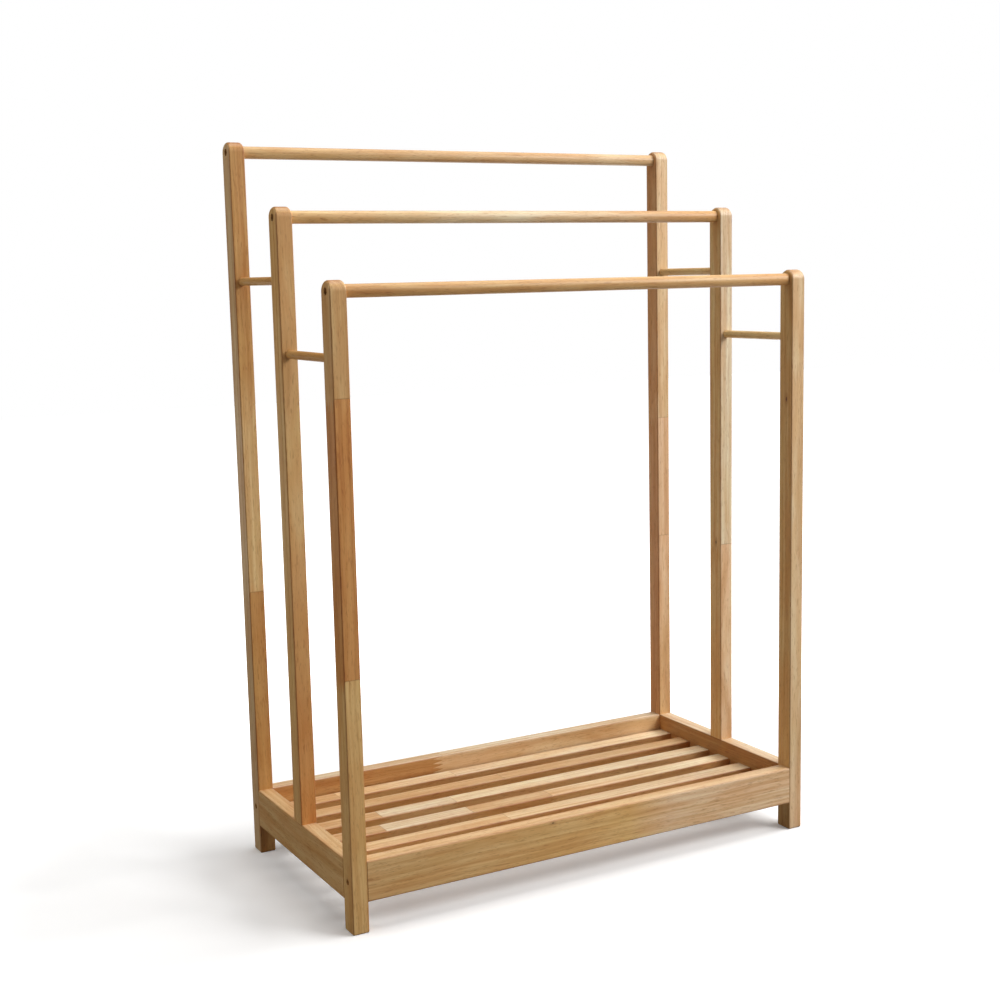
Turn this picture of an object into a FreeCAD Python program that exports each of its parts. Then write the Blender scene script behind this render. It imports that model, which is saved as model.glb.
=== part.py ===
import FreeCAD, Part
import os
import re
import Sketcher

# A freestanding towel stand in oiled hardwood. Two side frames, each of three posts, a low side
# rail and two rungs, are joined by three round towel bars, a front and a back rail, and the slats
# of a low shelf. Everything is in millimetres. The origin is on the floor in the middle of the
# footprint: +X runs along the bars to the right, +Y to the back, where the stand is tallest, and
# +Z up.

# ---------------------------------------------------------------------------------------------
# Driving dimensions
# ---------------------------------------------------------------------------------------------

SIZES = (
    ("overall_width", 646, "over the outer faces of the left and right posts"),
    ("overall_depth", 320, "over the front and back faces of the posts"),
    ("overall_height", 900, "floor to the top of the back posts"),
    ("bar_step", 84, "rise from one towel bar to the next"),
    ("post_width", 20, "post section along the bars, also the side rails' thickness"),
    ("post_depth", 24, "post section from front to back"),
    ("post_edge_radius", 1.5, "easing of the posts' long edges and half-round tops"),
    ("foot_chamfer", 1.5, "chamfer round the bottom of a foot"),
    ("bar_diameter", 15, "towel bar"),
    ("bar_socket_depth", 5, "how far a bar is let into a post"),
    ("bar_end_chamfer", 0.5, "chamfer at a bar's ends"),
    ("rung_diameter", 10, "side rung"),
    ("rung_drop", 72, "rung axis below the lower of the two bars beside it"),
    ("rung_socket_depth", 10, "how far a rung is let into a post"),
    ("rung_end_chamfer", 0.5, "chamfer at a rung's ends"),
    ("rail_height", 48, "all four rails"),
    ("rail_thickness", 20, "front and back rails"),
    ("rail_clearance", 36, "floor to the underside of the rails"),
    ("rail_edge_radius", 2, "easing of the rails' long edges"),
    ("slat_width", 26.5, "shelf slat, front to back"),
    ("slat_thickness", 10, "shelf slat"),
    ("slat_recess", 21.5, "top of the rails down to the top of the slats"),
    ("slat_back_gap", 2, "back rail to the first slat"),
    ("slat_front_gap", 14.5, "front rail to the last slat"),
    ("slat_end_gap", 0.5, "slat end to side rail"),
    ("slat_edge_radius", 1.5, "easing of the slats' long edges"),
    ("cleat_width", 12, "cleat under the slat ends, side to side"),
    ("cleat_height", 12, "cleat under the slat ends"),
    ("cleat_edge_radius", 1, "easing of the cleats' long edges"),
    ("dowel_diameter", 6, "all dowels"),
    ("dowel_end_chamfer", 0.6, "chamfer at a dowel's ends"),
    ("dowel_glue_space", 0.5, "left free beyond each end of a dowel"),
    ("rail_dowel_depth", 18, "dowel hole in the end of any rail"),
    ("post_dowel_depth", 12, "hole in a post for a front or back rail's dowel"),
    ("post_side_dowel_depth", 10, "hole in a post for a side rail's dowel"),
    ("foot_dowel_depth", 20, "dowel hole under a middle post and in the rail below it"),
    ("bar_screw_diameter", 5, "screw that holds a towel bar"),
    ("bar_screw_length", 35, "same screw, under its head"),
    ("bar_screw_head", 8, "same screw, across its head"),
    ("bar_head_recess", 7, "depth of the counterbore over it"),
    ("rail_screw_diameter", 4.5, "screw that holds a front or back rail"),
    ("rail_screw_length", 45, "same screw, under its head"),
    ("rail_screw_head", 6.5, "same screw, across its head"),
    ("rail_head_recess", 8, "depth of the counterbore over it"),
    ("cleat_screw_diameter", 3.5, "screws through the cleats"),
    ("cleat_screw_head", 7, "same screws, across the head"),
    ("cleat_head_recess", 3, "depth of the counterbore over them"),
    ("slat_screw_length", 16, "cleat screw up into a slat, under its head"),
    ("side_screw_length", 22, "cleat screw into a side rail, under its head"),
    ("screw_head_height", 2.4, "all screw heads"),
    ("screw_tip", 3, "length of a screw's point"),
    ("socket_drive_depth", 1.4, "hexagon recess in a screw head"),
    ("pilot_tip_space", 1.5, "pilot hole beyond the screw's point"),
    ("fit_clearance", 0.1, "round a bar, rung, dowel or shank in its hole, on the radius"),
    ("head_clearance", 0.25, "round a screw head in its counterbore, on the radius"),
)
ALIASES = {alias for alias, size, meaning in SIZES}

SIDES = {"left": -1, "right": 1}
BARS_FROM_TOP = ("back", "middle", "front")
SLAT_COUNT = 6
TOLERANCE = 1e-4

doc = FreeCAD.newDocument("TowelStand")
sheet = doc.addObject("Spreadsheet::Sheet", "Sizes")
for row_number, (alias, size, meaning) in enumerate(SIZES, 1):
    sheet.set(f"A{row_number}", meaning)
    sheet.set(f"B{row_number}", str(size))
    sheet.setAlias(f"B{row_number}", alias)
doc.recompute()

# ---------------------------------------------------------------------------------------------
# Places that several pieces share, as expressions of the driving dimensions
# ---------------------------------------------------------------------------------------------

POST_X = "(overall_width - post_width) / 2"
INNER_X = "(overall_width / 2 - post_width)"
ROW_Y = {
    "front": "(post_depth - overall_depth) / 2",
    "middle": "0",
    "back": "(overall_depth - post_depth) / 2",
}
RAIL_TOP = "(rail_clearance + rail_height)"
RAIL_MIDDLE = "(rail_clearance + rail_height / 2)"
FOOT_Z = {"front": "0", "middle": RAIL_TOP, "back": "0"}
BAR_Z = {
    row: f"(overall_height - post_depth / 2 - {steps} * bar_step)"
    for steps, row in enumerate(BARS_FROM_TOP)
}
BAR_LENGTH = "(overall_width - 2 * post_width + 2 * bar_socket_depth)"

# The rungs lie in the two bays of a side frame; each is named for its height.
RUNG_Y = {"lower": "(post_depth - overall_depth) / 4", "upper": "(overall_depth - post_depth) / 4"}
RUNG_Z = {"lower": f"({BAR_Z['front']} - rung_drop)", "upper": f"({BAR_Z['middle']} - rung_drop)"}
RUNG_LENGTH = "((overall_depth - 3 * post_depth) / 2 + 2 * rung_socket_depth)"

# The front and back rails are flush with the front faces of their posts.
RAIL_IN_POST_Y = "(rail_thickness - post_depth) / 2"
SIDE_RAIL_LENGTH = "(overall_depth - 2 * post_depth)"
# The dowels of a rail's end are spread over its height, those of the side rails nearer the middle,
# so that the two sets pass each other inside the corner posts.
RAIL_DOWEL_Z = "rail_height / 3"
SIDE_DOWEL_Z = "rail_height / 6"
FOOT_DOWEL_Y = "post_depth / 4"

SLAT_TOP = f"({RAIL_TOP} - slat_recess)"
SLAT_LENGTH = "(overall_width - 2 * post_width - 2 * slat_end_gap)"
SLAT_SPAN = "(overall_depth - post_depth - rail_thickness - slat_back_gap - slat_front_gap)"
SLAT_PITCH = f"(({SLAT_SPAN} - slat_width) / {SLAT_COUNT - 1})"
FIRST_SLAT_Y = "(overall_depth / 2 - post_depth - slat_back_gap - slat_width / 2)"
SLAT_Y = {
    number: f"({FIRST_SLAT_Y} - {number - 1} * {SLAT_PITCH})"
    for number in range(1, SLAT_COUNT + 1)
}
CLEAT_X = f"({INNER_X} - cleat_width / 2)"
CLEAT_TOP = f"({SLAT_TOP} - slat_thickness)"
CLEAT_MIDDLE = f"({CLEAT_TOP} - cleat_height / 2)"
# The cleat's own screws stand in every second gap between slats.
CLEAT_SCREW_Y = [
    f"({SLAT_Y[number]} - {SLAT_PITCH} / 2)" for number in range(1, SLAT_COUNT, 2)
]

BAR_PILOT_DEPTH = (
    "(bar_screw_length - post_width + bar_head_recess + bar_socket_depth + pilot_tip_space)"
)
RAIL_PILOT_DEPTH = "(rail_screw_length - post_width + rail_head_recess + pilot_tip_space)"
SLAT_PILOT_DEPTH = "(slat_screw_length - cleat_height + cleat_head_recess + pilot_tip_space)"
SIDE_PILOT_DEPTH = "(side_screw_length - cleat_width + cleat_head_recess + pilot_tip_space)"

# Turns that lead a local +Z axis along each heading.
TURNS = {
    "+X": FreeCAD.Rotation(FreeCAD.Vector(0, 1, 0), 90),
    "-X": FreeCAD.Rotation(FreeCAD.Vector(0, 1, 0), -90),
    "+Y": FreeCAD.Rotation(FreeCAD.Vector(1, 0, 0), -90),
    "-Y": FreeCAD.Rotation(FreeCAD.Vector(1, 0, 0), 90),
    "+Z": FreeCAD.Rotation(),
    "-Z": FreeCAD.Rotation(FreeCAD.Vector(1, 0, 0), 180),
}


# ---------------------------------------------------------------------------------------------
# Helpers
# ---------------------------------------------------------------------------------------------

def with_sheet(expression):
    """Spell out, in an expression, that each named size is kept in the sheet."""
    def spell_out(word):
        return f"Sizes.{word.group()}" if word.group() in ALIASES else word.group()
    return re.sub(r"[a-z_]+", spell_out, expression)


def value(expression):
    """Work out an expression of the driving dimensions as a plain number."""
    return float(sheet.evalExpression(with_sheet(expression)))


def bind(thing, prop, expression):
    """Tie one property to an expression of the driving dimensions."""
    thing.setExpression(prop, with_sheet(expression))


def new_body(name, centre):
    """Start the body of a sub-part, with its own frame at the given place."""
    body = doc.addObject("PartDesign::Body", name)
    body.Label = name
    for axis, expression in zip("xyz", centre):
        bind(body, f"Placement.Base.{axis}", expression)
    return body


def new_sketch(body, plane, name):
    """Start a sketch on one of the body's own origin planes."""
    sketch = body.newObject("Sketcher::SketchObject", name)
    origin_plane = next(feature for feature in body.Origin.OriginFeatures if feature.Role == plane)
    sketch.AttachmentSupport = (origin_plane, [""])
    sketch.MapMode = "FlatFace"
    return sketch


def dimension(sketch, kind, elements, name, expression):
    """Add one named dimension that follows the sheet."""
    index = sketch.addConstraint(Sketcher.Constraint(kind, *elements, value(expression)))
    sketch.renameConstraint(index, name)
    bind(sketch, f"Constraints.{name}", expression)


def draw_rectangle(sketch, width, height):
    """Draw a rectangle centred on the sketch's origin."""
    half_width = value(width) / 2
    half_height = value(height) / 2
    corners = [
        FreeCAD.Vector(-half_width, -half_height),
        FreeCAD.Vector(half_width, -half_height),
        FreeCAD.Vector(half_width, half_height),
        FreeCAD.Vector(-half_width, half_height),
    ]
    for start, end in zip(corners, corners[1:] + corners[:1]):
        sketch.addGeometry(Part.LineSegment(start, end))
    for side in range(4):
        sketch.addConstraint(Sketcher.Constraint("Coincident", side, 2, (side + 1) % 4, 1))
    for side in (0, 2):
        sketch.addConstraint(Sketcher.Constraint("Horizontal", side))
    for side in (1, 3):
        sketch.addConstraint(Sketcher.Constraint("Vertical", side))
    sketch.addConstraint(Sketcher.Constraint("Symmetric", 0, 1, 2, 1, -1, 1))
    dimension(sketch, "DistanceX", (0, 1, 0, 2), "width", width)
    dimension(sketch, "DistanceY", (1, 1, 1, 2), "height", height)


def draw_circle(sketch, diameter):
    """Draw a circle round the sketch's origin."""
    circle = Part.Circle(FreeCAD.Vector(), FreeCAD.Vector(0, 0, 1), value(diameter) / 2)
    sketch.addGeometry(circle)
    sketch.addConstraint(Sketcher.Constraint("Coincident", 0, 3, -1, 1))
    dimension(sketch, "Diameter", (0,), "diameter", diameter)


def draw_post_outline(sketch, crown):
    """Draw a post from the side: a flat foot, straight sides and a half-round top.

    The crown is the height of the half-round's centre, which is also the towel bar's axis.
    """
    radius = value("post_depth") / 2
    spring = value(crown)
    foot_front = FreeCAD.Vector(-radius, 0)
    foot_back = FreeCAD.Vector(radius, 0)
    top_back = FreeCAD.Vector(radius, spring)
    top_front = FreeCAD.Vector(-radius, spring)
    crest = FreeCAD.Vector(0, spring + radius)
    foot, back, top, front = range(4)
    sketch.addGeometry(Part.LineSegment(foot_front, foot_back))
    sketch.addGeometry(Part.LineSegment(foot_back, top_back))
    sketch.addGeometry(Part.Arc(top_back, crest, top_front))
    sketch.addGeometry(Part.LineSegment(top_front, foot_front))
    sketch.addConstraint(Sketcher.Constraint("Coincident", foot, 2, back, 1))
    sketch.addConstraint(Sketcher.Constraint("Coincident", front, 2, foot, 1))
    sketch.addConstraint(Sketcher.Constraint("Tangent", back, 2, top, 1))
    sketch.addConstraint(Sketcher.Constraint("Tangent", top, 2, front, 1))
    sketch.addConstraint(Sketcher.Constraint("Vertical", back))
    sketch.addConstraint(Sketcher.Constraint("Vertical", front))
    sketch.addConstraint(Sketcher.Constraint("Symmetric", foot, 1, foot, 2, -1, 1))
    dimension(sketch, "DistanceX", (foot, 1, foot, 2), "section", "post_depth")
    dimension(sketch, "DistanceY", (-1, 1, top, 3), "crown", crown)


def pad_both_ways(body, sketch, length, name):
    """Extrude a sketch evenly to both sides of its plane."""
    pad = body.newObject("PartDesign::Pad", name)
    pad.Profile = sketch
    pad.Midplane = True
    bind(pad, "Length", length)
    doc.recompute()
    return pad


def edge_names(feature, is_wanted):
    """Name the edges of a feature that pass a geometric test."""
    return [
        f"Edge{number}" for number, edge in enumerate(feature.Shape.Edges, 1) if is_wanted(edge)
    ]


def round_edges(body, feature, is_wanted, radius, name):
    """Ease the wanted edges of a feature with a fillet."""
    fillet = body.newObject("PartDesign::Fillet", name)
    fillet.Base = (feature, edge_names(feature, is_wanted))
    bind(fillet, "Radius", radius)
    doc.recompute()
    return fillet


def chamfer_edges(body, feature, is_wanted, size, name):
    """Break the wanted edges of a feature with a chamfer."""
    chamfer = body.newObject("PartDesign::Chamfer", name)
    chamfer.Base = (feature, edge_names(feature, is_wanted))
    bind(chamfer, "Size", size)
    doc.recompute()
    return chamfer


def primitive(body, kind, name, start, heading, sizes):
    """Add or cut a basic solid that starts at a point and runs along a heading."""
    solid = body.newObject(f"PartDesign::{kind}", name)
    solid.Placement = FreeCAD.Placement(FreeCAD.Vector(), TURNS[heading])
    for axis, expression in zip("xyz", start):
        bind(solid, f"Placement.Base.{axis}", expression)
    for prop, expression in sizes.items():
        bind(solid, prop, expression)
    return solid


def drill(body, name, start, heading, diameter, depth):
    """Drill a flat-bottomed round hole from a point along a heading."""
    sizes = {"Radius": f"({diameter}) / 2", "Height": depth}
    return primitive(body, "SubtractiveCylinder", name, start, heading, sizes)


def drill_for_screw(body, name, start, heading, screw, recess, through):
    """Drill a counterbored clearance hole for a screw of the given kind."""
    head = f"{screw}_head + 2 * head_clearance"
    shank = f"{screw}_diameter + 2 * fit_clearance"
    drill(body, f"{name}Recess", start, heading, head, recess)
    drill(body, f"{name}Hole", start, heading, shank, through)


def runs_along(axis):
    """Make a test for straight edges that run along one axis."""
    def test(edge):
        box = edge.BoundBox
        spans = {"X": box.XLength, "Y": box.YLength, "Z": box.ZLength}
        own_span = spans.pop(axis)
        return own_span > TOLERANCE and max(spans.values()) < TOLERANCE
    return test


def is_round(edge):
    """Tell whether an edge is a full circle."""
    return isinstance(edge.Curve, Part.Circle) and edge.isClosed()


def towards(side):
    """Give the heading that leads from the middle to this side."""
    return "+X" if side > 0 else "-X"


# ---------------------------------------------------------------------------------------------
# Posts
# ---------------------------------------------------------------------------------------------

def build_post(row, side_name):
    """A post with its half-round top, its bar's seat and screw, and its rungs' sockets."""
    side = SIDES[side_name]
    centre = (f"{side} * {POST_X}", ROW_Y[row], FOOT_Z[row])
    body = new_body(f"{row}_{side_name}_post", centre)
    crown = f"({BAR_Z[row]} - {FOOT_Z[row]})"
    outline = new_sketch(body, "YZ_Plane", "Outline")
    draw_post_outline(outline, crown)
    blank = pad_both_ways(body, outline, "post_width", "Blank")

    def is_foot_edge(edge):
        return edge.BoundBox.ZMax < TOLERANCE

    def is_long_edge(edge):
        return edge.BoundBox.XLength < TOLERANCE < edge.BoundBox.ZLength

    if row != "middle":
        blank = chamfer_edges(body, blank, is_foot_edge, "foot_chamfer", "Foot")
    round_edges(body, blank, is_long_edge, "post_edge_radius", "Eased")

    outer = f"{side} * post_width / 2"
    inner = f"{-side} * post_width / 2"
    inward = towards(-side)
    outward = towards(side)
    bar_start = (outer, "0", crown)
    drill_for_screw(body, "BarScrew", bar_start, inward, "bar_screw", "bar_head_recess", "post_width")
    bar_hole = "bar_diameter + 2 * fit_clearance"
    drill(body, "BarSocket", (inner, "0", crown), outward, bar_hole, "bar_socket_depth")
    drill_rung_sockets(body, row)
    if row == "middle":
        drill_foot_dowel_holes(body)
    else:
        drill_corner_joints(body, row, outer, inner, inward, outward)
    return body


def drill_rung_sockets(body, row):
    """Sockets for the rungs of the bays that this post bounds."""
    rung_hole = "rung_diameter + 2 * fit_clearance"
    lower = f"({RUNG_Z['lower']} - {FOOT_Z[row]})"
    upper = f"({RUNG_Z['upper']} - {FOOT_Z[row]})"
    front_face = "-post_depth / 2"
    back_face = "post_depth / 2"
    if row == "front":
        drill(body, "LowerRung", ("0", back_face, lower), "-Y", rung_hole, "rung_socket_depth")
    if row == "middle":
        drill(body, "LowerRung", ("0", front_face, lower), "+Y", rung_hole, "rung_socket_depth")
        drill(body, "UpperRung", ("0", back_face, upper), "-Y", rung_hole, "rung_socket_depth")
    if row == "back":
        drill(body, "UpperRung", ("0", front_face, upper), "+Y", rung_hole, "rung_socket_depth")


def drill_foot_dowel_holes(body):
    """Dowel holes up into a middle post from its foot."""
    dowel_hole = "dowel_diameter + 2 * fit_clearance"
    for sign, name in ((-1, "FrontDowel"), (1, "BackDowel")):
        start = ("0", f"{sign} * {FOOT_DOWEL_Y}", "0")
        drill(body, name, start, "+Z", dowel_hole, "foot_dowel_depth")


def drill_corner_joints(body, row, outer, inner, inward, outward):
    """Holes in a corner post for the screw and dowels of its two rails."""
    dowel_hole = "dowel_diameter + 2 * fit_clearance"
    screw_start = (outer, "0", RAIL_MIDDLE)
    drill_for_screw(body, "RailScrew", screw_start, inward, "rail_screw", "rail_head_recess", "post_width")
    side_face, side_heading = ("post_depth / 2", "-Y") if row == "front" else ("-post_depth / 2", "+Y")
    for sign, name in ((-1, "Low"), (1, "High")):
        rail_start = (inner, RAIL_IN_POST_Y, f"{RAIL_MIDDLE} + {sign} * {RAIL_DOWEL_Z}")
        drill(body, f"{name}RailDowel", rail_start, outward, dowel_hole, "post_dowel_depth")
        side_start = ("0", side_face, f"{RAIL_MIDDLE} + {sign} * {SIDE_DOWEL_Z}")
        drill(body, f"{name}SideDowel", side_start, side_heading, dowel_hole, "post_side_dowel_depth")


# ---------------------------------------------------------------------------------------------
# Towel bars and rungs
# ---------------------------------------------------------------------------------------------

def build_towel_bar(row):
    """A round bar whose ends sit in two posts and take a screw each."""
    body = new_body(f"{row}_towel_bar", ("0", ROW_Y[row], BAR_Z[row]))
    section = new_sketch(body, "YZ_Plane", "Section")
    draw_circle(section, "bar_diameter")
    blank = pad_both_ways(body, section, BAR_LENGTH, "Blank")
    chamfer_edges(body, blank, is_round, "bar_end_chamfer", "Ends")
    for side_name, side in SIDES.items():
        start = (f"{side} * {BAR_LENGTH} / 2", "0", "0")
        drill(body, f"{side_name}Pilot", start, towards(-side), "bar_screw_diameter", BAR_PILOT_DEPTH)
    return body


def build_rung(level, side_name):
    """A short round rung between two posts of one side frame."""
    centre = (f"{SIDES[side_name]} * {POST_X}", RUNG_Y[level], RUNG_Z[level])
    body = new_body(f"{level}_{side_name}_rung", centre)
    section = new_sketch(body, "XZ_Plane", "Section")
    draw_circle(section, "rung_diameter")
    blank = pad_both_ways(body, section, RUNG_LENGTH, "Blank")
    chamfer_edges(body, blank, is_round, "rung_end_chamfer", "Ends")
    return body


# ---------------------------------------------------------------------------------------------
# Rails
# ---------------------------------------------------------------------------------------------

def build_cross_rail(row):
    """The front or back rail, with a screw pilot and two dowel holes in each end."""
    centre = ("0", f"{ROW_Y[row]} + {RAIL_IN_POST_Y}", RAIL_MIDDLE)
    body = new_body(f"{row}_rail", centre)
    section = new_sketch(body, "YZ_Plane", "Section")
    draw_rectangle(section, "rail_thickness", "rail_height")
    blank = pad_both_ways(body, section, f"2 * {INNER_X}", "Blank")
    round_edges(body, blank, runs_along("X"), "rail_edge_radius", "Eased")
    dowel_hole = "dowel_diameter + 2 * fit_clearance"
    for side_name, side in SIDES.items():
        end = f"{side} * {INNER_X}"
        heading = towards(-side)
        screw_start = (end, f"-{RAIL_IN_POST_Y}", "0")
        pilot_name = f"{side_name}Pilot"
        drill(body, pilot_name, screw_start, heading, "rail_screw_diameter", RAIL_PILOT_DEPTH)
        for sign, level in ((-1, "Low"), (1, "High")):
            start = (end, "0", f"{sign} * {RAIL_DOWEL_Z}")
            drill(body, f"{side_name}{level}Dowel", start, heading, dowel_hole, "rail_dowel_depth")
    return body


def build_side_rail(side_name):
    """A side rail between corner posts, drilled for them, the middle post and the cleat."""
    side = SIDES[side_name]
    body = new_body(f"{side_name}_side_rail", (f"{side} * {POST_X}", "0", RAIL_MIDDLE))
    section = new_sketch(body, "XZ_Plane", "Section")
    draw_rectangle(section, "post_width", "rail_height")
    blank = pad_both_ways(body, section, SIDE_RAIL_LENGTH, "Blank")
    round_edges(body, blank, runs_along("Y"), "rail_edge_radius", "Eased")
    dowel_hole = "dowel_diameter + 2 * fit_clearance"
    for end_sign, end_name, heading in ((-1, "Front", "+Y"), (1, "Back", "-Y")):
        for sign, level in ((-1, "Low"), (1, "High")):
            start = ("0", f"{end_sign} * {SIDE_RAIL_LENGTH} / 2", f"{sign} * {SIDE_DOWEL_Z}")
            drill(body, f"{end_name}{level}Dowel", start, heading, dowel_hole, "rail_dowel_depth")
        post_start = ("0", f"{end_sign} * {FOOT_DOWEL_Y}", "rail_height / 2")
        drill(body, f"{end_name}PostDowel", post_start, "-Z", dowel_hole, "foot_dowel_depth")
    inner = f"{-side} * post_width / 2"
    for number, screw_y in enumerate(CLEAT_SCREW_Y, 1):
        start = (inner, screw_y, f"{CLEAT_MIDDLE} - {RAIL_MIDDLE}")
        drill(body, f"Pilot{number}", start, towards(side), "cleat_screw_diameter", SIDE_PILOT_DEPTH)
    return body


# ---------------------------------------------------------------------------------------------
# Shelf
# ---------------------------------------------------------------------------------------------

def build_slat(number):
    """A shelf slat, counted from the back, with a screw pilot near each end underneath."""
    centre = ("0", SLAT_Y[number], f"{SLAT_TOP} - slat_thickness / 2")
    body = new_body(f"slat_{number}", centre)
    section = new_sketch(body, "YZ_Plane", "Section")
    draw_rectangle(section, "slat_width", "slat_thickness")
    blank = pad_both_ways(body, section, SLAT_LENGTH, "Blank")
    round_edges(body, blank, runs_along("X"), "slat_edge_radius", "Eased")
    for side_name, side in SIDES.items():
        start = (f"{side} * {CLEAT_X}", "0", "-slat_thickness / 2")
        drill(body, f"{side_name}Pilot", start, "+Z", "cleat_screw_diameter", SLAT_PILOT_DEPTH)
    return body


def build_cleat(side_name):
    """The strip that carries the slat ends, with its counterbored screw holes."""
    side = SIDES[side_name]
    body = new_body(f"{side_name}_slat_cleat", (f"{side} * {CLEAT_X}", "0", CLEAT_MIDDLE))
    section = new_sketch(body, "XZ_Plane", "Section")
    draw_rectangle(section, "cleat_width", "cleat_height")
    blank = pad_both_ways(body, section, SIDE_RAIL_LENGTH, "Blank")
    round_edges(body, blank, runs_along("Y"), "cleat_edge_radius", "Eased")
    for number, slat_y in SLAT_Y.items():
        start = ("0", slat_y, "-cleat_height / 2")
        name = f"SlatScrew{number}"
        drill_for_screw(body, name, start, "+Z", "cleat_screw", "cleat_head_recess", "cleat_height")
    for number, screw_y in enumerate(CLEAT_SCREW_Y, 1):
        start = (f"{-side} * cleat_width / 2", screw_y, "0")
        name = f"SideScrew{number}"
        heading = towards(side)
        drill_for_screw(body, name, start, heading, "cleat_screw", "cleat_head_recess", "cleat_width")
    return body


# ---------------------------------------------------------------------------------------------
# Fasteners: one pattern piece of each kind, then a node of copies
# ---------------------------------------------------------------------------------------------

def build_screw(name, screw, length):
    """A socket-head wood screw along +Z, with the underside of its head at the origin."""
    body = new_body(name, ("0", "0", "0"))
    seat = ("0", "0", "0")
    head_top = ("0", "0", "-screw_head_height")
    radius = f"{screw}_diameter / 2"
    shank = {"Radius": radius, "Height": f"{length} - screw_tip"}
    primitive(body, "AdditiveCylinder", "Shank", seat, "+Z", shank)
    head = {"Radius": f"{screw}_head / 2", "Height": "screw_head_height"}
    primitive(body, "AdditiveCylinder", "Head", head_top, "+Z", head)
    point = {"Radius1": radius, "Radius2": f"{screw}_diameter / 10", "Height": "screw_tip"}
    primitive(body, "AdditiveCone", "Point", ("0", "0", f"{length} - screw_tip"), "+Z", point)
    drive = {"Circumradius": f"{screw}_head / 3.5", "Height": "socket_drive_depth"}
    socket = primitive(body, "SubtractivePrism", "Drive", head_top, "+Z", drive)
    socket.Polygon = 6
    return body


def build_dowel(name, length):
    """A chamfered dowel along Z, centred on the origin."""
    body = new_body(name, ("0", "0", "0"))
    section = new_sketch(body, "XY_Plane", "Section")
    draw_circle(section, "dowel_diameter")
    blank = pad_both_ways(body, section, f"{length} - 2 * dowel_glue_space", "Blank")
    chamfer_edges(body, blank, is_round, "dowel_end_chamfer", "Ends")
    return body


def scatter(name, pattern, places):
    """One node of identical pieces: a copy of the pattern at each place, along each heading."""
    copies = []
    for place, heading in places:
        copy = pattern.Shape.copy()
        corner = FreeCAD.Vector(*(value(expression) for expression in place))
        copy.Placement = FreeCAD.Placement(corner, TURNS[heading])
        copies.append(copy)
    node = doc.addObject("Part::Feature", name)
    node.Label = name
    node.Shape = Part.makeCompound(copies)
    node.Placement = FreeCAD.Placement()
    return node


def build_bar_screws():
    """Six screws through the post tops into the ends of the towel bars."""
    pattern = build_screw("bar_screw_pattern", "bar_screw", "bar_screw_length")
    seat_x = "(overall_width / 2 - bar_head_recess)"
    places = [
        ((f"{side} * {seat_x}", ROW_Y[row], BAR_Z[row]), towards(-side))
        for row in ROW_Y
        for side in SIDES.values()
    ]
    doc.recompute()
    return scatter("bar_screws", pattern, places)


def build_rail_screws():
    """Four screws through the corner posts into the ends of the front and back rails."""
    pattern = build_screw("rail_screw_pattern", "rail_screw", "rail_screw_length")
    seat_x = "(overall_width / 2 - rail_head_recess)"
    places = [
        ((f"{side} * {seat_x}", ROW_Y[row], RAIL_MIDDLE), towards(-side))
        for row in ("front", "back")
        for side in SIDES.values()
    ]
    doc.recompute()
    return scatter("rail_screws", pattern, places)


def build_slat_screws():
    """Twelve screws up through the cleats into the slats."""
    pattern = build_screw("slat_screw_pattern", "cleat_screw", "slat_screw_length")
    seat_z = f"{CLEAT_TOP} - cleat_height + cleat_head_recess"
    places = [
        ((f"{side} * {CLEAT_X}", slat_y, seat_z), "+Z")
        for side in SIDES.values()
        for slat_y in SLAT_Y.values()
    ]
    doc.recompute()
    return scatter("slat_screws", pattern, places)


def build_cleat_screws():
    """Six screws from the cleats into the side rails."""
    pattern = build_screw("cleat_screw_pattern", "cleat_screw", "side_screw_length")
    seat_x = f"({INNER_X} - cleat_width + cleat_head_recess)"
    places = [
        ((f"{side} * {seat_x}", screw_y, CLEAT_MIDDLE), towards(side))
        for side in SIDES.values()
        for screw_y in CLEAT_SCREW_Y
    ]
    doc.recompute()
    return scatter("cleat_screws", pattern, places)


def build_rail_dowels():
    """Eight dowels between the corner posts and the front and back rails."""
    pattern = build_dowel("rail_dowel_pattern", "rail_dowel_depth + post_dowel_depth")
    centre_x = f"({INNER_X} - (rail_dowel_depth - post_dowel_depth) / 2)"
    places = [
        ((f"{side} * {centre_x}", f"{ROW_Y[row]} + {RAIL_IN_POST_Y}", height), towards(side))
        for row in ("front", "back")
        for side in SIDES.values()
        for height in (f"{RAIL_MIDDLE} - {RAIL_DOWEL_Z}", f"{RAIL_MIDDLE} + {RAIL_DOWEL_Z}")
    ]
    doc.recompute()
    return scatter("rail_dowels", pattern, places)


def build_side_rail_dowels():
    """Eight dowels between the corner posts and the side rails."""
    pattern = build_dowel("side_dowel_pattern", "rail_dowel_depth + post_side_dowel_depth")
    centre_y = f"({SIDE_RAIL_LENGTH} - rail_dowel_depth + post_side_dowel_depth) / 2"
    places = [
        ((f"{side} * {POST_X}", f"{end} * {centre_y}", height), "+Y")
        for side in SIDES.values()
        for end in (-1, 1)
        for height in (f"{RAIL_MIDDLE} - {SIDE_DOWEL_Z}", f"{RAIL_MIDDLE} + {SIDE_DOWEL_Z}")
    ]
    doc.recompute()
    return scatter("side_rail_dowels", pattern, places)


def build_middle_post_dowels():
    """Four dowels that stand the middle posts on the side rails."""
    pattern = build_dowel("foot_dowel_pattern", "2 * foot_dowel_depth")
    places = [
        ((f"{side} * {POST_X}", f"{sign} * {FOOT_DOWEL_Y}", RAIL_TOP), "+Z")
        for side in SIDES.values()
        for sign in (-1, 1)
    ]
    doc.recompute()
    return scatter("middle_post_dowels", pattern, places)


# ---------------------------------------------------------------------------------------------
# The whole stand
# ---------------------------------------------------------------------------------------------

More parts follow.
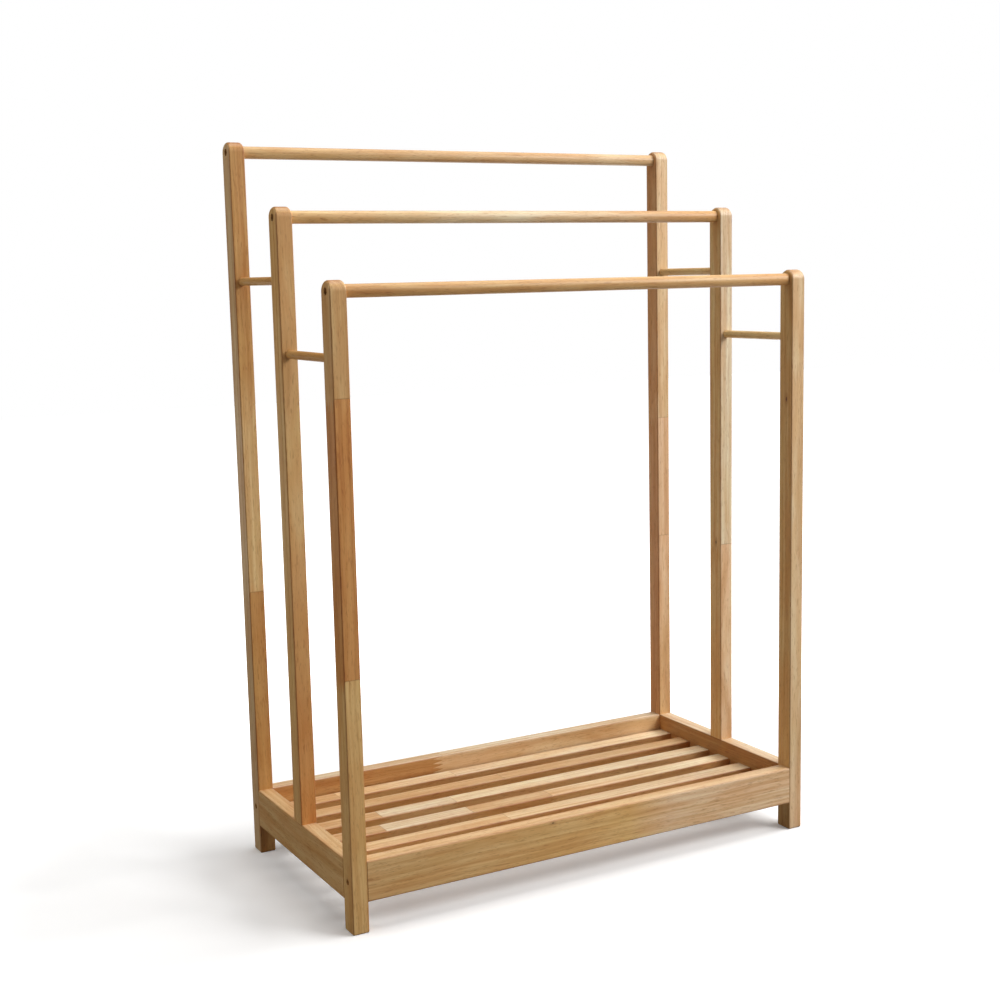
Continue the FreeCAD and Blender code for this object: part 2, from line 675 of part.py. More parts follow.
def build_stand():
    """Build every sub-part and return the nodes in the order of assembly."""
    nodes = [build_post(row, side_name) for row in ROW_Y for side_name in SIDES]
    nodes += [build_towel_bar(row) for row in ROW_Y]
    nodes += [build_rung(level, side_name) for level in RUNG_Z for side_name in SIDES]
    nodes += [build_cross_rail(row) for row in ("front", "back")]
    nodes += [build_side_rail(side_name) for side_name in SIDES]
    nodes += [build_slat(number) for number in SLAT_Y]
    nodes += [build_cleat(side_name) for side_name in SIDES]
    nodes += [build_bar_screws(), build_rail_screws(), build_slat_screws(), build_cleat_screws()]
    nodes += [build_rail_dowels(), build_side_rail_dowels(), build_middle_post_dowels()]
    doc.recompute()
    return nodes


def check_document(nodes):
    """Stop if any object failed or any node's shape is missing or broken."""
    for thing in doc.Objects:
        if "Invalid" in thing.State or "Error" in thing.State:
            raise RuntimeError(f"{thing.Label} failed: {thing.State}")
    for node in nodes:
        if node.Shape.isNull() or not node.Shape.isValid():
            raise RuntimeError(f"{node.Label} has no valid shape")


def export_nodes(nodes):
    """Write each node's shape to a file of its own."""
    os.makedirs("parts", exist_ok=True)
    for node in nodes:
        node.Shape.exportStep(f"parts/{node.Label}.step")
        print(f"{node.Label}: {len(node.Shape.Solids)} solid(s), {node.Shape.Volume:.0f} mm3")


stand = build_stand()
check_document(stand)
export_nodes(stand)
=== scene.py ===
"""Freestanding towel stand in oiled rubberwood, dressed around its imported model.

Everything is in metres. +X runs along the towel bars to the right, +Y to the back and +Z up.
"""

import logging
import math
from collections.abc import Sequence
from dataclasses import dataclass, field
from enum import Enum
from functools import partial

import bmesh
import bpy
from bmesh.types import BMEdge, BMesh, BMFace
from mathutils import Matrix, Vector


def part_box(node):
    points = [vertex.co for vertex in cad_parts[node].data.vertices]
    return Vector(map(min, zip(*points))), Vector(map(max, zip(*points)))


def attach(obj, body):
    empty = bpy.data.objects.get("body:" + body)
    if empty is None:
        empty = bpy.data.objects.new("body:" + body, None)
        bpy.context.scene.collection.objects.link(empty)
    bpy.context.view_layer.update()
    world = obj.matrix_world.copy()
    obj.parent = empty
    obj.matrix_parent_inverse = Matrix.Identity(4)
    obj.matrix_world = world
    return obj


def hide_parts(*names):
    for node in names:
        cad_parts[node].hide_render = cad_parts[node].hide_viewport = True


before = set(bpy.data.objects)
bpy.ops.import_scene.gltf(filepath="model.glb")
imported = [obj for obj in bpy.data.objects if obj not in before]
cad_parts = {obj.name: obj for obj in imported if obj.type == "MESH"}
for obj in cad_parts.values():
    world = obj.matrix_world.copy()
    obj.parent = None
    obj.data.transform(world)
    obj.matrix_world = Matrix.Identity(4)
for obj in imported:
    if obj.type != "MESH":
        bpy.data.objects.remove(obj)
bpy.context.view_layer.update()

log = logging.getLogger("towel_stand")

MM = 0.001
Socket = bpy.types.NodeSocket
Paint = tuple[float, float, float, float]


# ------------------------------------------------------------
# Names for the choices
# ------------------------------------------------------------

# What early and late wood make of a tone's red, green and blue, and the most that a paint reflects.
EARLY_WOOD = (1.24, 1.50, 1.80)
LATE_WOOD = (0.93, 0.88, 0.80)
LIGHTEST = 0.97


class Grain(Enum):
    """The axis that the fibres of a piece follow."""

    SIDEWAYS = 0
    INWARDS = 1
    UPRIGHT = 2

    @property
    def heading(self) -> Vector:
        """The unit vector along the fibres."""
        return Vector([float(axis == self.value) for axis in range(3)])


class Tone(Enum):
    """The mean colour of one block of rubberwood, as sRGB."""

    PALE = "E3C69D"
    LINEN = "D9BC97"
    CREAM = "E4BA8D"
    BLOND = "D9B181"
    PEACH = "DEAF83"
    STRAW = "E3B87B"
    GOLD = "EFB672"
    SAND = "DFAE6C"
    APRICOT = "E09F66"
    HONEY = "D7A66A"
    ROSE = "CCA171"
    AMBER = "CD9555"
    RUSSET = "D28F4E"
    UMBER = "BC844B"
    # Painted shade: the darker tone of the slats' fronts and backs, standing in for the shade
    # between the slats.
    SLAT_FRONT_SHADE = "C58645"

    @property
    def early(self) -> Paint:
        """The lighter early wood."""
        return self._scaled(EARLY_WOOD)

    @property
    def late(self) -> Paint:
        """The darker and redder late wood."""
        return self._scaled(LATE_WOOD)

    def _scaled(self, factors: Sequence[float]) -> Paint:
        """The mean colour, each channel times a factor and held below one."""
        red, green, blue = (
            min(part * factor, LIGHTEST) for part, factor in zip(linear(self.value), factors)
        )
        return red, green, blue, 1.0


class Stain(Enum):
    """What darkens the wood in places: the sRGB colour that multiplies it, and how much of that."""

    WARM_CLOUD = ("F4DCC6", 0.5)
    PALE_CLOUD = ("F3E6C8", 0.35)
    PORE = ("9A6A3C", 0.45)
    FLECK = ("B98A5E", 0.35)
    KNOT_HALO = ("A8683A", 0.35)
    SEAM = ("8A5A34", 0.3)
    END_GRAIN = ("C49A74", 0.5)
    # Painted shade on the rounded long edges.
    EDGE_SHADE = ("B98B62", 0.6)


class Slot(Enum):
    """The record's material slots."""

    POSTS = "posts"
    BARS = "round_bars"
    RAILS = "rails"
    SLATS = "slats"
    DOWELS = "dowels"
    SCREWS = "screws"


def linear(code: str) -> Paint:
    """Turns an sRGB hex code into linear light.

    Args:
        code: six hex digits.

    Returns:
        Red, green, blue and an alpha of one.
    """
    parts = (int(code[at:at + 2], 16) / 255 for at in (0, 2, 4))
    red, green, blue = (
        part / 12.92 if part <= 0.04045 else ((part + 0.055) / 1.055) ** 2.4 for part in parts
    )
    return red, green, blue, 1.0


@dataclass(frozen=True)
class Block:
    """The box that a piece fills."""

    low: Vector
    high: Vector

    @classmethod
    def of(cls, node: str) -> "Block":
        """The box of a CAD node."""
        return cls(*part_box(node))

    @property
    def centre(self) -> Vector:
        """The middle of the box."""
        return (self.low + self.high) / 2

    @property
    def size(self) -> Vector:
        """The box's three sides."""
        return self.high - self.low


# ------------------------------------------------------------
# Shader nodes
# ------------------------------------------------------------

class NodeWeb:
    """The node tree of one material, with short calls for what the finishes use."""

    def __init__(self, tree: bpy.types.NodeTree,
                 material: bpy.types.Material | None = None) -> None:
        """Starts with an empty tree.

        Args:
            tree: the node tree to fill.
            material: the material that it belongs to, if any.
        """
        self.tree = tree
        self.material = material
        tree.nodes.clear()

    @classmethod
    def of(cls, name: str) -> "NodeWeb":
        """The empty tree of a new material."""
        material = bpy.data.materials.new(name)
        material.use_nodes = True
        return cls(material.node_tree, material)

    def node(self, kind: str, values: dict | None = None, **settings: object) -> bpy.types.Node:
        """Adds a node.

        Args:
            kind: Blender's name for the node.
            values: what goes into its sockets, by name or number: a socket or a constant.
            settings: the node's own options.

        Returns:
            The new node.
        """
        made = self.tree.nodes.new(kind)
        for option, choice in settings.items():
            setattr(made, option, choice)
        for key, value in (values or {}).items():
            if isinstance(value, Socket):
                self.tree.links.new(value, made.inputs[key])
            else:
                made.inputs[key].default_value = value
        return made

    def math(self, operation: str, *values: Socket | float, clamp: bool = False) -> Socket:
        """A Math node's result."""
        made = self.node(
            "ShaderNodeMath", dict(enumerate(values)), operation=operation, use_clamp=clamp
        )
        return made.outputs[0]

    def vector(self, operation: str, *values: Socket | Sequence[float]) -> Socket:
        """A Vector Math node's vector."""
        made = self.node("ShaderNodeVectorMath", dict(enumerate(values)), operation=operation)
        return made.outputs[0]

    def length(self, value: Socket) -> Socket:
        """The length of a vector."""
        return self.node("ShaderNodeVectorMath", {0: value}, operation="LENGTH").outputs[1]

    def dot(self, first: Socket, second: Sequence[float]) -> Socket:
        """How far one vector goes along another."""
        values = {0: first, 1: second}
        return self.node("ShaderNodeVectorMath", values, operation="DOT_PRODUCT").outputs[1]

    def combine(self, *values: Socket | float) -> Socket:
        """Three numbers as one vector."""
        return self.node("ShaderNodeCombineXYZ", dict(enumerate(values))).outputs[0]

    def separate(self, value: Socket) -> list[Socket]:
        """A vector's three numbers."""
        return list(self.node("ShaderNodeSeparateXYZ", {0: value}).outputs)

    def mix(self, share: Socket | float, first: Socket | Paint, second: Socket | Paint,
            blend: str = "MIX") -> Socket:
        """Two colours blended by a share.

        Args:
            share: how much of the second colour.
            first: the first colour.
            second: the second colour.
            blend: Blender's name for the way they blend.

        Returns:
            The blended colour.
        """
        made = self.node(
            "ShaderNodeMix", {0: share, 6: first, 7: second}, data_type="RGBA", blend_type=blend
        )
        return made.outputs[2]

    def stain(self, where: Socket, colour: Socket, stain: Stain) -> Socket:
        """A colour darkened by a stain where a share says so."""
        code, strength = stain.value
        return self.mix(self.math("MULTIPLY", where, strength), colour, linear(code), "MULTIPLY")

    def stretched(self, body: Socket, width: float, length: float) -> Socket:
        """A place in the wood, scaled for a pattern that is so wide and so long along the grain."""
        return self.vector("MULTIPLY", body, (1 / width, 1 / width, 1 / length))

    def spread(self, value: Socket, start: float, end: float, low: float = 0.0, high: float = 1.0,
               ease: bool = False) -> Socket:
        """Maps start..end to low..high, and holds it there.

        Args:
            value: the number to map.
            start: the value that becomes low.
            end: the value that becomes high.
            low: the result at start.
            high: the result at end.
            ease: True for a soft step.

        Returns:
            The mapped number.
        """
        made = self.node(
            "ShaderNodeMapRange", {0: value, 1: start, 2: end, 3: low, 4: high},
            interpolation_type="SMOOTHSTEP" if ease else "LINEAR",
        )
        return made.outputs[0]

    def noise(self, place: Socket, detail: float = 2.0, roughness: float = 0.5) -> bpy.types.Node:
        """A Noise Texture at a place that is already scaled."""
        values = {"Vector": place, "Scale": 1.0, "Detail": detail, "Roughness": roughness}
        return self.node("ShaderNodeTexNoise", values, noise_dimensions="3D")

    def swap(self, share: Socket, first: Socket | Sequence[float],
             second: Socket | Sequence[float]) -> Socket:
        """Two vectors blended by a share."""
        made = self.node("ShaderNodeMix", {0: share, 4: first, 5: second}, data_type="VECTOR")
        return made.outputs[1]

    def close(self, surface: Socket) -> bpy.types.Material:
        """Joins the surface to the output and gives the finished material."""
        self.node("ShaderNodeOutputMaterial", {"Surface": surface})
        return self.material


# ------------------------------------------------------------
# Finishes
# ------------------------------------------------------------

@dataclass(frozen=True)
class Stave:
    """One block of a finger-jointed board, from where the last one ends.

    Attributes:
        tone: the block's colours.
        end: where it ends along the grain, in millimetres of the object's own frame.
        fade: the colours that it has changed to by its end, if they change.
        cut: True if it ends in a finger joint; the wood goes on otherwise.
    """

    tone: Tone
    end: float = math.inf
    fade: Tone | None = None
    cut: bool = True


@dataclass(frozen=True)
class Knot:
    """A pin knot.

    Attributes:
        place: its middle in the object's frame, in millimetres.
        radius: its radius across the grain, in millimetres.
    """

    place: tuple[float, float, float]
    radius: float = 1.5


@dataclass(frozen=True)
class Rubberwood:
    """Oiled rubberwood: finger-jointed blocks with soft growth bands, fibres and open pores.

    Attributes:
        staves: the blocks from the low end to the high end.
        heart: the tree's middle from the board's, across the grain, in millimetres.
        fingers: which of the two cross directions the joints' fingers follow.
        knots: pin knots.
        figure: how strongly the late wood shows.
        turn: shifts the figure, so that no two boards match.
        edges: the tone of one pair of long faces, if it isn't that of the other pair; partly those
            faces' own wood, partly painted light and shade: paler rail tops for sheen, darker slat
            fronts for the shade between the slats.
        tone_and_light_side: which of the two cross directions that pair faces.
        tone_and_light_share: how fully those faces take the edges' tone.
        finger_length: how far a joint's fingers reach, in millimetres.
        finger_pitch: the distance from finger to finger.
        sway: how far the figure wanders across the grain.
        band_width: the distance from one growth band to the next.
        band_share: how much of the figure is growth bands; the rest is fibres.
        pore_width: the distance between pores across the grain.
        pore_length: the distance between them along it.
    """

    staves: tuple[Stave, ...] = (Stave(Tone.HONEY),)
    heart: tuple[float, float] = (34.0, -52.0)
    fingers: int = 0
    knots: tuple[Knot, ...] = ()
    figure: float = 1.0
    turn: float = 0.0
    edges: Tone | None = None
    tone_and_light_side: int = 0

    tone_and_light_share: float = 0.85
    finger_length: float = 16.0
    finger_pitch: float = 6.0
    sway: float = 14.0
    band_width: float = 4.2
    band_share: float = 0.62
    pore_width: float = 0.9
    pore_length: float = 9.0

    def material(self, name: str, block: Block, grain: Grain) -> bpy.types.Material:
        """Makes the material for one board.

        Args:
            name: the material's name.
            block: the box that the board fills.
            grain: the axis of its fibres.

        Returns:
            The finished material.
        """
        web = NodeWeb.of(name)
        first, second = (grain.value + 1) % 3, (grain.value + 2) % 3
        centre, half = block.centre / MM, block.size / MM / 2
        source = web.node("ShaderNodeTexCoord").outputs["Object"]
        placed = web.node("ShaderNodeMapping", {
            "Vector": source, "Location": -centre, "Scale": (1 / MM,) * 3,
        }, vector_type="POINT").outputs[0]
        axes = web.separate(placed)
        across = (axes[first], axes[second])
        along = axes[grain.value]

        reach = half[(first, second)[self.fingers]]
        early, late, slip, seam = self._blocks(
            web, across, along, centre[grain.value], half[grain.value], reach)
        facing = web.separate(web.node("ShaderNodeTexCoord").outputs["Normal"])
        # One pair of faces, found by which way they face, takes another tone: partly the wood of
        # those faces, partly painted light and shade (paler rail tops for sheen, darker slat fronts
        # for the shade between slats).
        if self.edges:
            tone_and_light_mask = web.math("ABSOLUTE", facing[(first, second)[self.tone_and_light_side]])
            tone_and_light_mask = web.spread(tone_and_light_mask, 0.5, 0.9, 0.0, self.tone_and_light_share, ease=True)
            early = web.mix(tone_and_light_mask, early, self.edges.early)
            late = web.mix(tone_and_light_mask, late, self.edges.late)

        body = self._swayed(web, web.vector("ADD", web.combine(*across, along), slip))
        grainy, fibre = self._figure(web, body)
        pore = self._pores(web, body)
        colour = self._clouded(web, body, web.mix(grainy, early, late))
        colour = web.stain(pore, colour, Stain.PORE)
        fleck = web.noise(web.stretched(body, 1.7, 15.0), 1.0).outputs[0]
        colour = web.stain(web.spread(fleck, 0.6, 0.72, ease=True), colour, Stain.FLECK)
        for knot in self.knots:
            colour = self._knot(web, placed, centre, grain, knot, colour)
        if seam:
            colour = web.stain(seam, colour, Stain.SEAM)
        end_grain = web.spread(web.math("ABSOLUTE", facing[grain.value]), 0.55, 0.95, ease=True)
        colour = web.stain(end_grain, colour, Stain.END_GRAIN)
        # Painted shade along the rounded long edges.
        edge_shade = self._edge_shade(web, across, (half[first], half[second]))
        colour = web.stain(edge_shade, colour, Stain.EDGE_SHADE)

        height = web.math("SUBTRACT", web.math("MULTIPLY", fibre, 0.35), pore)
        bump = web.node("ShaderNodeBump", {
            "Strength": 0.22, "Distance": 0.12 * MM, "Height": height,
        })
        dull = web.spread(grainy, 0.0, 1.0, 0.4, 0.5)
        rough = web.math("ADD", dull, web.math("MULTIPLY", pore, 0.2))
        shader = web.node("ShaderNodeBsdfPrincipled", {
            "Base Color": colour, "Roughness": rough, "Normal": bump.outputs[0], "IOR": 1.5,
        })
        return web.close(shader.outputs[0])

    def _swayed(self, web: NodeWeb, body: Socket) -> Socket:
        """Lets the figure wander slowly across the grain."""
        drift = web.noise(web.stretched(body, 70.0, 240.0), 1.0).outputs[1]
        drift = web.vector("SUBTRACT", drift, (0.5,) * 3)
        return web.vector("ADD", body, web.vector("MULTIPLY", drift, (self.sway, self.sway, 0.0)))

    def _figure(self, web: NodeWeb, body: Socket) -> tuple[Socket, Socket]:
        """Draws the growth bands round the tree's middle and the fibres along it.

        Args:
            web: the material's nodes.
            body: the place in the wood, in millimetres, with the grain as its third number.

        Returns:
            How much late wood shows, and the fibres alone.
        """
        ring = web.vector("SUBTRACT", body, (*self.heart, 0.0))
        ring = web.length(web.vector("MULTIPLY", ring, (1, 1, 0)))
        far = web.separate(body)[2]
        rings = web.combine(
            web.math("DIVIDE", ring, self.band_width), 0.0, web.math("DIVIDE", far, 500.0))
        band = web.spread(web.noise(rings, 3.0, 0.6).outputs[0], 0.39, 0.61)
        fibre = web.noise(web.stretched(body, 0.8, 45.0), 2.0, 0.6).outputs[0]
        fibre = web.spread(fibre, 0.3, 0.7)
        grainy = web.math("ADD", web.math("MULTIPLY", band, self.band_share),
                          web.math("MULTIPLY", fibre, 1 - self.band_share))
        return web.math("MULTIPLY", grainy, self.figure, clamp=True), fibre

    @staticmethod
    def _clouded(web: NodeWeb, body: Socket, colour: Socket) -> Socket:
        """Lays soft warm and pale clouds over the wood."""
        cloud = web.noise(web.stretched(body, 16.0, 85.0), 2.0)
        warm = web.spread(cloud.outputs[0], 0.36, 0.64, ease=True)
        colour = web.stain(warm, colour, Stain.WARM_CLOUD)
        pale = web.spread(web.separate(cloud.outputs[1])[2], 0.4, 0.64, ease=True)
        return web.stain(pale, colour, Stain.PALE_CLOUD)

    def _pores(self, web: NodeWeb, body: Socket) -> Socket:
        """Scatters open pores: one in a pore, nought between them."""
        cells = web.node("ShaderNodeTexVoronoi", {
            "Vector": web.stretched(body, self.pore_width, self.pore_length), "Scale": 1.0,
        }, voronoi_dimensions="3D", feature="F1")
        pore = web.spread(cells.outputs[0], 0.12, 0.34, 1.0, 0.0, ease=True)
        kept = web.spread(web.separate(cells.outputs[1])[0], 0.35, 0.9)
        return web.math("MULTIPLY", pore, kept)

    def _blocks(self, web: NodeWeb, across: tuple[Socket, Socket], along: Socket, middle: float,
                half: float, reach: float,
                ) -> tuple[Socket | Paint, Socket | Paint, Socket | tuple, Socket | None]:
        """Works out which block of the board a point is in.

        Args:
            web: the material's nodes.
            across: the point's two cross places.
            along: its place along the grain, from the board's middle.
            middle: the board's middle along the grain.
            half: half the board's length.
            reach: half its size in the direction that the joints' fingers follow.

        Returns:
            The block's early and late wood, a shift of its figure and a line at the joints.
        """
        from_side = web.math("ADD", across[self.fingers], reach)
        tooth = web.math("PINGPONG", from_side, self.finger_pitch / 2)
        tooth = web.math("MULTIPLY", tooth, 2 * self.finger_length / self.finger_pitch)
        toothed = web.math("ADD", along, tooth)
        early = late = slip = seam = None
        begins, cut = -half, False
        for number, stave in enumerate(self.staves):
            ends = min(stave.end - middle, half)
            light, dark = stave.tone.early, stave.tone.late
            if stave.fade:
                share = web.spread(along, begins, ends)
                light = web.mix(share, light, stave.fade.early)
                dark = web.mix(share, dark, stave.fade.late)
            mark = (self.turn * 37.0 + 33.0 * number, self.turn * -23.0 + 55.0 * number,
                    self.turn * 410.0 + 580.0 * number)
            if not number:
                early, late, slip = light, dark, mark
            else:
                place = toothed if cut else along
                past = web.math("GREATER_THAN", place, begins)
                early, late = web.mix(past, early, light), web.mix(past, late, dark)
                if cut:
                    slip = web.swap(past, slip, mark)
                    off = web.math("ABSOLUTE", web.math("SUBTRACT", place, begins))
                    line = web.spread(off, 0.2, 0.9, 1.0, 0.0)
                    seam = web.math("MAXIMUM", seam, line) if seam else line
            begins, cut = ends, stave.cut
        return early, late, slip, seam

    def _knot(self, web: NodeWeb, placed: Socket, centre: Vector, grain: Grain, knot: Knot,
              colour: Socket) -> Socket:
        """Darkens the wood round a pin knot.

        Args:
            web: the material's nodes.
            placed: the point from the board's middle.
            centre: the board's middle.
            grain: the axis of its fibres.
            knot: the knot.
            colour: the wood's colour so far.

        Returns:
            The colour with the knot.
        """
        squash = tuple(0.45 if axis == grain.value else 1.0 for axis in range(3))
        away = web.vector("SUBTRACT", placed, tuple(Vector(knot.place) - centre))
        away = web.length(web.vector("MULTIPLY", away, squash))
        halo = web.spread(away, knot.radius, knot.radius * 4, 1.0, 0.0, ease=True)
        core = web.spread(away, knot.radius * 0.4, knot.radius * 1.2, 1.0, 0.0, ease=True)
        colour = web.stain(halo, colour, Stain.KNOT_HALO)
        return web.mix(web.math("MULTIPLY", core, 0.8), colour, linear("4E2C18"))

    @staticmethod
    def _edge_shade(web: NodeWeb, across: tuple[Socket, Socket], half: tuple[float, float]) -> Socket:
        """Finds the rounded long edges, where shade is painted in.

        Args:
            web: the material's nodes.
            across: the point's two cross places.
            half: half the board's two cross sizes.

        Returns:
            One at an edge, nought on the faces.
        """
        nears = [
            web.spread(web.math("ABSOLUTE", place), reach - 2.0, reach - 0.6)
            for place, reach in zip(across, half)
        ]
        return web.math("MULTIPLY", *nears)


@dataclass(frozen=True)
class BrushedSteel:
    """Zinc-plated steel of the screws, with fine streaks.

    Attributes:
        colour: the metal's colour as sRGB.
    """

    colour: str = "8E8A82"

    def material(self, name: str) -> bpy.types.Material:
        """Makes the material.

        Args:
            name: the material's name.

        Returns:
            The finished material.
        """
        web = NodeWeb.of(name)
        source = web.node("ShaderNodeTexCoord").outputs["Object"]
        fine = web.noise(web.vector("MULTIPLY", source, (900.0, 5200.0, 5200.0)), 2.0).outputs[0]
        tint = web.mix(fine, linear(self.colour), linear("6E6A64"))
        shader = web.node("ShaderNodeBsdfPrincipled", {
            "Base Color": tint, "Metallic": 1.0,
            "Roughness": web.spread(fine, 0.3, 0.7, 0.36, 0.52),
        })
        return web.close(shader.outputs[0])


# ------------------------------------------------------------
# Mesh work
# ------------------------------------------------------------

SHARP_EDGE = math.radians(38)


def deliver(bm: BMesh, node: str, material: bpy.types.Material) -> bpy.types.Object:
    """Turns a finished mesh into the piece that stands for a CAD node.

    Args:
        bm: the mesh, in the object's own frame.
        node: the CAD node that it replaces.
        material: its finish.

    Returns:
        The new piece.
    """
    bmesh.ops.remove_doubles(bm, verts=bm.verts, dist=1e-6)
    bmesh.ops.recalc_face_normals(bm, faces=bm.faces)
    for face in bm.faces:
        face.smooth = True
    for edge in bm.edges:
        edge.smooth = edge.is_manifold and edge.calc_face_angle(0.0) < SHARP_EDGE
    mesh = bpy.data.meshes.new(f"{node}_mesh")
    bm.to_mesh(mesh)
    bm.free()
    mesh.materials.append(material)
    piece = bpy.data.objects.new(f"{node}_wood", mesh)
    bpy.context.scene.collection.objects.link(piece)
    even = piece.modifiers.new("even_shading", "WEIGHTED_NORMAL")
    even.keep_sharp = True
    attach(piece, "root")
    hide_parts(node)
    log.info("%s: %d faces", piece.name, len(mesh.polygons))
    return piece


def pull(bm: BMesh, face: BMFace, keep: bool = False) -> BMFace:
    """Extrudes a face in place.

    Args:
        bm: the mesh.
        face: the face to extrude.
        keep: True to leave the old face as the back of the shape.

    Returns:
        The new face.
    """
    made = bmesh.ops.extrude_face_region(bm, geom=[face])["geom"]
    if not keep:
        bmesh.ops.delete(bm, geom=[face], context="FACES_ONLY")
    return next(part for part in made if isinstance(part, BMFace))


def runs_along(edge: BMEdge, heading: Vector) -> bool:
    """Tells whether an edge is parallel to a heading."""
    run = (edge.verts[1].co - edge.verts[0].co).normalized()
    return abs(run.dot(heading)) > 0.999


def eased_board(block: Block, grain: Grain, radius: float, segments: int = 4) -> BMesh:
    """A square-cut board with rounded long edges.

    Args:
        block: the box that it fills.
        grain: the axis of its length.
        radius: the rounding of its long edges.
        segments: faces across each rounding.

    Returns:
        The board's mesh.
    """
    bm = bmesh.new()
    bmesh.ops.create_cube(bm, size=1.0, matrix=Matrix.LocRotScale(block.centre, None, block.size))
    long_edges = [edge for edge in bm.edges if runs_along(edge, grain.heading)]
    bmesh.ops.bevel(bm, geom=long_edges, offset=radius, offset_type="OFFSET", affect="EDGES",
                    segments=segments, profile=0.5, material=-1)
    return bm


def round_rod(block: Block, grain: Grain, chamfer: float, sides: int = 48) -> BMesh:
    """A round rod with chamfered ends.

    Args:
        block: the box that it fills.
        grain: the axis of its length.
        chamfer: the size of the chamfers.
        sides: faces round the rod.

    Returns:
        The rod's mesh.
    """
    bm = bmesh.new()
    radius = block.size[(grain.value + 1) % 3] / 2
    turn = Vector((0, 0, 1)).rotation_difference(grain.heading).to_matrix().to_4x4()
    bmesh.ops.create_cone(bm, cap_ends=True, cap_tris=False, segments=sides, radius1=radius,
                          radius2=radius, depth=block.size[grain.value],
                          matrix=Matrix.Translation(block.centre) @ turn)
    rims = [edge for edge in bm.edges if not runs_along(edge, grain.heading)]
    bmesh.ops.bevel(bm, geom=rims, offset=chamfer, offset_type="OFFSET", affect="EDGES",
                    segments=1, profile=0.5, material=-1)
    return bm


@dataclass(frozen=True)
class Hole:
    """A flat-bottomed round hole, or a counterbored one.

    Attributes:
        radius: the hole's radius.
        depth: how deep it goes.
        pilot_radius: the narrower hole that goes on from its floor, if any.
        pilot_depth: that hole's depth from the same face.
        eased: the broken edge at its mouth.
    """

    radius: float
    depth: float
    pilot_radius: float = 0.0
    pilot_depth: float = 0.0
    eased: float = 0.25 * MM

    def drill(self, bm: BMesh, mouth: Vector, heading: Vector, lengthwise: Vector) -> None:
        """Opens the hole in the flat face that its mouth lies in.

        Args:
            bm: the mesh.
            mouth: the middle of the hole's mouth.
            heading: the unit vector into the wood.
            lengthwise: the long direction of the face, where there is room round the hole.
        """
        face = self._face_at(bm, mouth, heading)
        room = self.radius + self.eased + 1.2 * MM
        for side in (-1, 1):
            around = [face, *face.edges, *face.verts]
            bmesh.ops.bisect_plane(bm, geom=around, dist=1e-7,
                                   plane_co=mouth + side * room * lengthwise, plane_no=lengthwise)
            face = self._face_at(bm, mouth, heading)
        for edge in list(face.edges):
            cuts = round(edge.calc_length() / (1.6 * MM)) - 1
            if cuts > 0:
                bmesh.ops.subdivide_edges(bm, edges=[edge], cuts=cuts)
        face = self._face_at(bm, mouth, heading)
        bmesh.ops.inset_individual(bm, faces=[face], thickness=0.01 * MM)
        self._place(face, mouth, heading, self.radius + self.eased, 0.0)
        face = self._deepen(bm, face, mouth, heading, self.radius, self.eased)
        face = self._deepen(bm, face, mouth, heading, self.radius, self.depth)
        if self.pilot_radius:
            face = self._deepen(bm, face, mouth, heading, self.pilot_radius, self.depth)
            self._deepen(bm, face, mouth, heading, self.pilot_radius, self.pilot_depth)

    @staticmethod
    def _face_at(bm: BMesh, mouth: Vector, heading: Vector) -> BMFace:
        """The flat face that holds the mouth."""
        bm.normal_update()
        for face in bm.faces:
            level = abs((face.verts[0].co - mouth).dot(heading)) < 1e-6
            if level and face.normal.dot(heading) < -0.999:
                if bmesh.geometry.intersect_face_point(face, mouth):
                    return face
        raise ValueError(f"no flat face at {tuple(mouth)}")

    @staticmethod
    def _place(face: BMFace, mouth: Vector, heading: Vector, radius: float, depth: float) -> None:
        """Moves a face's corners onto a circle at a depth."""
        for vert in face.verts:
            away = vert.co - mouth
            away -= away.dot(heading) * heading
            vert.co = mouth + away.normalized() * radius + heading * depth

    def _deepen(self, bm: BMesh, face: BMFace, mouth: Vector, heading: Vector, radius: float,
                depth: float) -> BMFace:
        """Extrudes a hole's floor to a new radius and depth, and gives the new floor."""
        floor = pull(bm, face)
        self._place(floor, mouth, heading, radius, depth)
        return floor


# ------------------------------------------------------------
# Posts
# ------------------------------------------------------------

PostWood = partial(Rubberwood, fingers=1)


